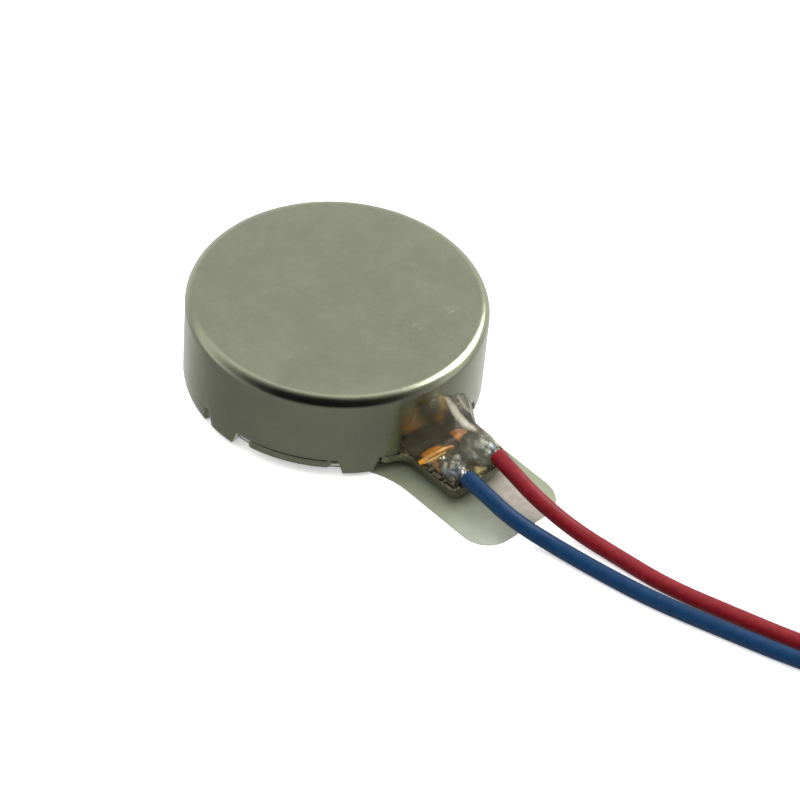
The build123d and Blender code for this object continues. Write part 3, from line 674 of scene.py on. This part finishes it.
# ============================================================ case
def case_rows():
    """Section of the case as (radius, level) rows: outer skin, inner skin, and how they pair up.

    Each skin runs from the axis to the finger tip. The last `paired` rows of both face each other.
    """
    fillet_steps, wall_steps, bend_steps = 10, 6, 5
    inner_radius = CASE_RADIUS - CASE_WALL
    ceiling = CASE_TOP - CASE_WALL
    tip_radius = inner_radius - FINGER_REACH
    seat = CASE_BOTTOM + CASE_WALL

    def skin(radius, top, edge):
        rows = [(radius * share, top) for share in (0.0, 0.25, 0.5, 0.75)]
        for step in range(fillet_steps + 1):
            turn = pi / 2 * step / fillet_steps
            rows.append((radius - edge + edge * sin(turn), top - edge + edge * cos(turn)))
        for step in range(1, wall_steps):
            rows.append((radius, lerp(top - edge, WINDOW_TOP, step / wall_steps)))
        return rows

    window = [lerp(WINDOW_TOP, RIM, share) for share in (0.0, 0.5, 1.0)]
    bend_start = CASE_BOTTOM + FINGER_BEND_RADIUS
    outer_finger = [(CASE_RADIUS, lerp(RIM, bend_start, share)) for share in (0.5, 1.0)]
    for step in range(1, bend_steps + 1):
        turn = pi / 2 * step / bend_steps
        outer_finger.append((
            CASE_RADIUS - FINGER_BEND_RADIUS + FINGER_BEND_RADIUS * cos(turn),
            bend_start - FINGER_BEND_RADIUS * sin(turn),
        ))
    outer_finger += [(lerp(inner_radius, tip_radius, share), CASE_BOTTOM) for share in (0.2, 1.0)]
    corner = len(outer_finger) - 2
    inner_finger = [(inner_radius, lerp(RIM, seat, (step + 1) / corner)) for step in range(corner)]
    inner_finger += [(lerp(inner_radius, tip_radius, share), seat) for share in (0.2, 1.0)]

    outer = skin(CASE_RADIUS, CASE_TOP, CASE_EDGE_RADIUS)
    inner = skin(inner_radius, ceiling, CEILING_EDGE_RADIUS)
    outer += [(CASE_RADIUS, level) for level in window] + outer_finger
    inner += [(inner_radius, level) for level in window] + inner_finger
    return outer, inner, len(window) + len(outer_finger), len(outer_finger)


def case_columns():
    """Columns round the case, each with its angle, its kind and, on a finger, its place across it."""
    spans = [(-WINDOW_HALF_WIDTH, WINDOW_HALF_WIDTH, 0.0, "window", 10, 1.0)]
    for angle, tip_half, root_half, cells in FINGERS:
        for side in (1, -1):
            spans.append((-root_half, root_half, side * angle, "finger", cells, tip_half / root_half))
    spans.sort(key=lambda span: span[2] % 360)
    columns = []
    for index, (low, high, centre, kind, cells, narrowing) in enumerate(spans):
        centre = radians(centre % 360)
        for cell in range(cells + 1):
            across = lerp(low, high, cell / cells)
            columns.append({
                "angle": centre + asin(across / CASE_RADIUS),
                "centre": centre,
                "across": across if kind == "finger" else None,
                "narrowing": narrowing,
                "kind": kind if cell < cells else "plain",
            })
        following = spans[(index + 1) % len(spans)]
        next_centre = radians(following[2] % 360) + (2 * pi if index == len(spans) - 1 else 0)
        start = centre + asin(high / CASE_RADIUS)
        stop = next_centre + asin(following[0] / CASE_RADIUS)
        plain_cells = ceil((stop - start) / radians(2.5))
        for cell in range(1, plain_cells):
            columns.append({
                "angle": lerp(start, stop, cell / plain_cells),
                "centre": None, "across": None, "kind": "plain",
            })
    return columns


def make_case(material):
    """Deep-drawn cup with a window for the tail and six clinch fingers, as one closed skin."""
    outer, inner, paired, finger_rows = case_rows()
    columns = case_columns()
    rim_row = len(outer) - finger_rows - 1
    inner_rim_row = len(inner) - finger_rows - 1
    window_row, inner_window_row = len(outer) - paired, len(inner) - paired
    vertices, faces, index_of = [], [], {}

    def vertex(skin, row, column):
        key = (skin, row, 0 if row == 0 else column % len(columns))
        if key not in index_of:
            radius, level = (outer if skin == "outer" else inner)[row]
            data = columns[key[2]]
            angle = data["angle"]
            if level < RIM - 1e-6 and data["across"] is not None:
                share = lerp(data["narrowing"], 1.0, (level - CASE_BOTTOM) / (RIM - CASE_BOTTOM))
                angle = data["centre"] + asin(data["across"] * share / CASE_RADIUS)
            index_of[key] = len(vertices)
            vertices.append((radius * cos(angle), radius * sin(angle), level))
        return index_of[key]

    def quad(*corners):
        points = [vertex(*corner) for corner in corners]
        unique = list(dict.fromkeys(points))
        if len(unique) > 2:
            faces.append(unique)

    def side_wall(column, first, last, first_inner):
        """Face across the wall's thickness between two rows, at one column."""
        for step in range(last - first):
            quad(
                ("outer", first + step, column), ("outer", first + step + 1, column),
                ("inner", first_inner + step + 1, column), ("inner", first_inner + step, column),
            )

    for column, data in enumerate(columns):
        kind = data["kind"]
        last_row = {"window": window_row, "plain": rim_row, "finger": len(outer) - 1}[kind]
        last_inner = last_row - len(outer) + len(inner)
        for row in range(last_row):
            quad(("outer", row, column), ("outer", row + 1, column),
                 ("outer", row + 1, column + 1), ("outer", row, column + 1))
        for row in range(last_inner):
            quad(("inner", row, column), ("inner", row, column + 1),
                 ("inner", row + 1, column + 1), ("inner", row + 1, column))
        quad(("outer", last_row, column), ("inner", last_inner, column),
             ("inner", last_inner, column + 1), ("outer", last_row, column + 1))
        before = columns[column - 1]["kind"]
        if kind != before:
            if "window" in (kind, before):
                side_wall(column, window_row, rim_row, inner_window_row)
            else:
                side_wall(column, rim_row, len(outer) - 1, inner_rim_row)
    case = mesh_piece("case_shell", vertices, faces, material)
    bevel(case, CASE_BEVEL)
    return finish_piece(case, STATOR, ("case",))


# ============================================================ flat and turned pieces
EDGED_NODES = (
    ("bracket", 0.018, STATOR), ("tape_disc", 0.015, STATOR), ("release_liner", 0.012, STATOR),
    ("shaft", 0.04, STATOR), ("ring_magnet", 0.06, STATOR),
    ("bearing", 0.05, ROTOR), ("commutator_board", 0.015, ROTOR),
    ("counterweight", 0.06, ROTOR), ("rotor_moulding", 0.03, ROTOR),
    ("commutator_segments", 0.008, ROTOR),
    ("lower_washer", 0.02, STATOR), ("upper_washer", 0.02, STATOR), ("solder_pads", 0.008, STATOR),
    ("brush_positive", 0.012, STATOR), ("brush_negative", 0.012, STATOR),
    ("brush_solder", 0.03, STATOR), ("coil_tie", 0.045, STATOR),
)


def make_edged_pieces(materials):
    slots = {row["node"]: row["material_slot"] for row in frame["record"]["subparts"]}
    for node, width, body in EDGED_NODES:
        piece = edged_copy(node, width, materials[slots[node]])
        finish_piece(piece, body, (node,))


# ============================================================ rotor windings
WINDING_INNER_RADIUS = 1.45
WINDING_OUTER_RADIUS = 4.05
WINDING_HALF_SPAN = 40           # degrees, to each side of a winding's middle
WINDING_COLUMNS = 6
WINDING_WIRE = 0.12
WINDING_STEPS = 24               # points along each side of a turn
WINDING_ANGLES = {"rotor_coil_a": 134, "rotor_coil_b": 226}


def winding_loop(inset):
    """Closed path round a sector with rounded corners, in the plane, this far inside its outline."""
    inner, outer = WINDING_INNER_RADIUS + inset, WINDING_OUTER_RADIUS - inset
    path = []
    for start, end, side_from, side_to in (
        (outer, outer, -1, 1), (outer, inner, 1, 1), (inner, inner, 1, -1), (inner, outer, -1, -1),
    ):
        for step in range(WINDING_STEPS):
            share = step / WINDING_STEPS
            radius = lerp(start, end, share)
            half = radians(WINDING_HALF_SPAN) - asin(inset / radius)
            angle = lerp(side_from, side_to, share) * half
            path.append(Vector((radius * cos(angle), radius * sin(angle), 0)))
    rounding = ceil(lerp(20, 2, inset / (WINDING_COLUMNS * WINDING_WIRE)))
    for _ in range(rounding):
        path = [(path[i - 1] + path[i] * 2 + path[(i + 1) % len(path)]) / 4 for i in range(len(path))]
    return path


def make_windings(material):
    """Outer turns of both coils, one closed loop of enamelled wire each."""
    for node, angle in WINDING_ANGLES.items():
        low, high = box_mm(node)
        rows = int((high.z - low.z) / WINDING_WIRE)
        pitch = (high.z - low.z) / rows
        turn = Matrix.Rotation(radians(angle), 3, "Z")
        vertices, faces = [], []
        for column in range(WINDING_COLUMNS):
            loop = winding_loop((column + 0.5) * WINDING_WIRE)
            for row in range(rows):
                if 0 < column < WINDING_COLUMNS - 1 and 0 < row < rows - 1:
                    continue
                level = Vector((0, 0, low.z + (row + 0.5) * pitch))
                path = [turn @ point + level for point in loop]
                tube(vertices, faces, path, [WINDING_WIRE / 2] * len(path), 6, closed=True)
        winding = mesh_piece(node + "_winding", vertices, faces, material, 60)
        finish_piece(winding, ROTOR, (node,))


# ============================================================ flexible circuit
FLEX_THICKNESS = 0.10
FLEX_HALF_WIDTH = 1.15
FLEX_HUMP_HEIGHT = 0.20
FLEX_HUMP_MIDDLE = 5.52
FLEX_HUMP_SPREAD = 0.24


def flex_lift(x, y):
    """Slack fold of the neck just outside the case window."""
    fold = exp(-((x - FLEX_HUMP_MIDDLE) / FLEX_HUMP_SPREAD) ** 2)
    return FLEX_HUMP_HEIGHT * fold * (1 - 0.25 * (y / FLEX_HALF_WIDTH) ** 2)


def make_flex(material):
    """Disc under the magnet, and a neck that leaves by the window with a slack fold."""
    disc_radius, hole_radius = 4.25, 0.90
    rings, sectors = 6, 72
    vertices, faces = [], []
    neck_start = sqrt(disc_radius ** 2 - FLEX_HALF_WIDTH ** 2)

    def sheet(points, columns, rows, closed=False):
        base = len(vertices)
        for level in (FLEX_TOP, FLEX_TOP - FLEX_THICKNESS):
            for x, y in points:
                vertices.append((x, y, level + flex_lift(x, y)))
        two_skins(faces, base, columns, rows, closed)

    disc_points = []
    for ring in range(rings):
        radius = lerp(hole_radius, disc_radius, ring / (rings - 1))
        for sector in range(sectors):
            angle = 2 * pi * sector / sectors
            disc_points.append((radius * cos(angle), radius * sin(angle)))
    sheet(disc_points, sectors, rings, closed=True)

    columns, rows = 13, 48
    neck_points = []
    for row in range(rows):
        x = lerp(neck_start - 0.02, FLEX_HIGH.x, row / (rows - 1))
        for column in range(columns):
            neck_points.append((x, lerp(-FLEX_HALF_WIDTH, FLEX_HALF_WIDTH, column / (columns - 1))))
    sheet(neck_points, columns, rows)
    flex = mesh_piece("flex_film", vertices, faces, material)
    return finish_piece(flex, STATOR, ("flex_circuit",))


# ============================================================ solder, strands and flux
def make_blob(name, centre, size, material, seed, unevenness):
    """Frozen drop: a rounded lump with an uneven skin that sits on the pads."""
    bm = bmesh.new()
    bmesh.ops.create_icosphere(bm, subdivisions=5, radius=1.0)
    shift = Vector((seed * 7.3, seed * 3.1, seed * 1.7))
    for vertex in bm.verts:
        normal = vertex.co.normalized()
        swell = 1 + unevenness * noise.noise(normal * 1.7 + shift)
        swell += 0.4 * unevenness * noise.noise(normal * 4 + shift)
        place = Vector((normal.x * size[0], normal.y * size[1], normal.z * size[2])) * swell
        place += Vector(centre)
        place.z = max(place.z, PAD_TOP)
        vertex.co = place * MM
    return piece_from_bmesh(name, bm, material)


def tube(vertices, faces, path, radii, sides=10, closed=False):
    """Add a tube along a path of points, in millimetres, with a radius for each point."""
    base, count = len(vertices), len(path)
    side_axis = Vector((0, 0, 1))
    for index, point in enumerate(path):
        if closed:
            ahead = path[(index + 1) % count] - path[index - 1]
        else:
            ahead = path[min(index + 1, count - 1)] - path[max(index - 1, 0)]
        ahead.normalize()
        side_axis = (side_axis - ahead * side_axis.dot(ahead)).normalized()
        other = ahead.cross(side_axis)
        for side in range(sides):
            angle = 2 * pi * side / sides
            vertices.append(point + (side_axis * cos(angle) + other * sin(angle)) * radii[index])

    def at(ring, side):
        return base + ring % count * sides + side % sides

    for ring in range(count if closed else count - 1):
        for side in range(sides):
            faces.append((at(ring, side), at(ring, side + 1), at(ring + 1, side + 1), at(ring + 1, side)))
    if not closed:
        for ring in (0, count - 1):
            faces.append([at(ring, side) for side in range(sides)])


def strand_bundle(name, start, end, turns, material):
    """Fine strands twisted round each other from one point to another."""
    start, end = Vector(start), Vector(end)
    along = (end - start).normalized()
    side_axis = (Vector((0, 0, 1)) - along * along.z).normalized()
    other = along.cross(side_axis)
    steps = 28
    vertices, faces = [], []
    for strand in range(STRAND_COUNT + 1):
        path = []
        for step in range(steps + 1):
            share = step / steps
            angle = 2 * pi * (strand / STRAND_COUNT + turns * share)
            out = 0.0 if strand == STRAND_COUNT else STRAND_SPREAD * (1 + 0.25 * sin(5 * share + strand))
            point = start.lerp(end, share) + (side_axis * cos(angle) + other * sin(angle)) * out
            path.append(point)
        tube(vertices, faces, path, [STRAND_RADIUS] * len(path), 8)
    return mesh_piece(name, vertices, faces, material, 60)


def smooth_bead(name, stations, material):
    """Rounded bead that swells and thins along a few given stations."""
    steps = 8
    path, radii = [], []
    for (start, start_radius), (end, end_radius) in zip(stations, stations[1:]):
        for step in range(steps):
            path.append(Vector(start).lerp(Vector(end), step / steps))
            radii.append(lerp(start_radius, end_radius, step / steps))
    path.append(Vector(stations[-1][0]))
    radii.append(stations[-1][1])
    for _ in range(12):
        for index in range(1, len(path) - 1):
            path[index] = (path[index - 1] + path[index] * 2 + path[index + 1]) / 4
            radii[index] = (radii[index - 1] + radii[index] * 2 + radii[index + 1]) / 4
    vertices, faces = [], []
    tube(vertices, faces, path, radii, 20)
    return mesh_piece(name, vertices, faces, material, 60)


def make_amber(materials):
    bead = smooth_bead("amber_bead", AMBER_BEAD, materials["amber"])
    finish_piece(bead, STATOR)
    # painted highlight: a thin pale bead along the amber bead's lower edge
    highlight_line = smooth_bead("amber_painted_highlight", AMBER_HIGHLIGHT_LINE, materials["amber_painted_highlight"])
    finish_piece(highlight_line, STATOR)


def make_joints(materials):
    """Drops of solder, and the stripped strands that run into them."""
    for name, centre, size, material, seed, unevenness, nodes in SOLDER_DROPS:
        drop = make_blob(name, centre, size, materials[material], seed, unevenness)
        finish_piece(drop, STATOR, nodes)
    tinned = materials["tinned_strands"]
    for name, route, pad in (("red", RED_ROUTE, RED_PAD), ("blue", BLUE_ROUTE, BLUE_PAD)):
        exit_point = Vector(route[0])
        inside = exit_point + (Vector(route[1]) - exit_point).normalized() * 0.30
        foot = (pad[0] - 0.40, pad[1], PAD_TOP + 0.16)
        strands = strand_bundle(name + "_bare_strands", foot, inside, JOINT_TWIST, tinned)
        finish_piece(strands, STATOR, (name + "_strands",))


def make_flux(material):
    """Crumbs of burnt flux along the blue side of the tongue."""
    random.seed(4)
    bm = bmesh.new()
    for _ in range(32):
        along = random.uniform(0, 1)
        centre = Vector((
            lerp(5.9, 7.28, along) + random.uniform(-0.05, 0.05),
            -1.24 + random.uniform(-0.05, 0.10) + 0.10 * along,
            FLEX_TOP - 0.06 + random.uniform(0, 0.05),
        ))
        size = random.uniform(0.03, 0.10)
        made = bmesh.ops.create_icosphere(bm, subdivisions=2, radius=1.0)["verts"]
        for vertex in made:
            swell = 1 + 0.45 * noise.noise(vertex.co * 2.2 + centre * 9)
            vertex.co = (centre + Vector((vertex.co.x, vertex.co.y, vertex.co.z * 0.7)) * size * swell) * MM
    return finish_piece(piece_from_bmesh("flux_crumbs", bm, material), STATOR)


# ============================================================ glue over the tail
def glue_climb(y):
    """Level of the glue's upper edge on the case wall."""
    for (y0, level0), (y1, level1) in zip(GLUE_CLIMB, GLUE_CLIMB[1:]):
        if y <= y1:
            return lerp(level0, level1, smoothstep(y0, y1, y))
    return GLUE_CLIMB[-1][1]


def glue_surface(out, across, y_at_wall):
    """Height of the glue above its base: a skirt down the wall, then a low bead over the joints."""
    bead = GLUE_FRONT_HEIGHT * max(0.0, 1 - abs(across) ** 3.4) ** 0.5
    for centre, side, gain, spread in GLUE_SWELLS:
        bead += gain * exp(-((out - centre) / spread) ** 2 - ((across - side) / 0.36) ** 2)
    nose = max(0.0, 1 - (out / GLUE_LENGTH) ** 7) ** 0.6
    rise = max(0.0, glue_climb(y_at_wall) - FLEX_TOP - bead)
    side = lerp(0.62, 0.88, smoothstep(-1.0, 0.9, across))
    return bead * nose + rise * exp(-(out / side) ** 1.55)


def make_glue(material):
    """Clear resin that climbs the case wall and wraps the joints, as a closed sculpted skin."""
    rows, columns = 72, 64
    base_level = PLATE_TOP + 0.01
    left, right = GLUE_CLIMB[0][0], GLUE_CLIMB[-1][0]
    vertices, faces = [], []
    for skin in (0, 1):
        for row in range(rows + 1):
            share = row / rows
            for column in range(columns + 1):
                across = -cos(pi * column / columns)
                y_at_wall = lerp(left, right, (across + 1) / 2)
                narrowing = smoothstep(0.0, 0.42, share)
                y = lerp(y_at_wall, across * GLUE_FRONT_HALF, narrowing)
                wall_x = sqrt((CASE_RADIUS - 0.04) ** 2 - y * y)
                front_x = CASE_RADIUS + GLUE_LENGTH - 0.10 * across * across + 0.04 * sin(4 * across + 1)
                x = lerp(wall_x, front_x, share)
                height = glue_surface(share * GLUE_LENGTH, across, y_at_wall)
                ripple = 0.03 * noise.noise(Vector((x * 1.3, y * 1.3, 4.0))) * min(1.0, height * 3)
                top_level = max(base_level + 0.015, FLEX_TOP + height + ripple)
                vertices.append((x, y, base_level if skin else top_level))
    two_skins(faces, 0, columns + 1, rows + 1)
    glue = mesh_piece("glue_saddle", vertices, faces, material, 50)
    return finish_piece(glue, STATOR, ("glue_bead",))


# ============================================================ leads
def coil_place():
    """Centre of the coil and the radii of the red turns, inside, and the blue turns, outside."""
    centre = (COIL_LOW + COIL_HIGH) / 2
    blue_radius = (COIL_HIGH.x - COIL_LOW.x) / 2 - LEAD_DIAMETER / 2
    return centre, blue_radius - LEAD_DIAMETER - 0.02, blue_radius


def coil_turns(radius, turns):
    """Points of a coil that rises by one lead diameter a turn."""
    centre = coil_place()[0]
    count = round(turns * COIL_POINTS_PER_TURN)
    points = []
    for index in range(count + 1):
        angle = radians(COIL_START_ANGLE) + 2 * pi * turns * index / count
        points.append((
            centre.x + radius * cos(angle),
            centre.y + radius * sin(angle),
            COIL_LOW.z + LEAD_DIAMETER * (0.5 + turns * index / count),
        ))
    return points


def make_lead(colour, route, radius, turns, material):
    """Insulated lead from its solder joint into the coil."""
    points = scaled(list(route) + coil_turns(radius, turns))
    curve = bpy.data.curves.new(colour + "_wire", "CURVE")
    curve.dimensions = "3D"
    spline = curve.splines.new("NURBS")
    spline.points.add(len(points) - 1)
    for control, point in zip(spline.points, points):
        control.co = (*point, 1)
    spline.order_u = 3
    spline.use_endpoint_u = True
    spline.resolution_u = 12
    curve.bevel_depth = LEAD_DIAMETER / 2 * MM
    curve.bevel_resolution = 8
    curve.use_fill_caps = True
    curve.materials.append(material)
    lead = link(bpy.data.objects.new(colour + "_wire", curve))
    finish_piece(lead, STATOR, (colour + "_lead", "lead_coil"))


def make_lead_tip(colour, radius, turns, material):
    """Twisted tinned strands past the end of the insulation."""
    low, high = box_mm(colour + "_lead_tip")
    start = Vector(coil_turns(radius, turns)[-1])
    end = start + ((low + high) / 2 - start).normalized() * TIP_LENGTH
    tip = strand_bundle(colour + "_tip_strands", start, end, TIP_TWIST, material)
    finish_piece(tip, STATOR, (colour + "_lead_tip",))


def make_leads(materials):
    _, red_radius, blue_radius = coil_place()
    leads = (
        ("red", RED_ROUTE, red_radius, RED_TURNS),
        ("blue", BLUE_ROUTE, blue_radius, BLUE_TURNS),
    )
    for colour, _, radius, turns in leads:
        make_lead_tip(colour, radius, turns, materials["tinned_strands"])
    for colour, route, radius, turns in leads:
        make_lead(colour, route, radius, turns, materials[colour + "_insulation"])


# ============================================================ build
def main():
    make_camera()
    materials = make_materials()
    dress_cad_nodes(materials)
    make_leads(materials)
    make_case(materials["case_steel"])
    make_edged_pieces(materials)
    make_windings(materials["coil_copper"])
    make_flex(materials["flex"])
    make_amber(materials)
    make_joints(materials)
    make_flux(flux_residue())
    make_glue(materials["glue"])
    make_floor(floor_paper())
    make_lights()


main()
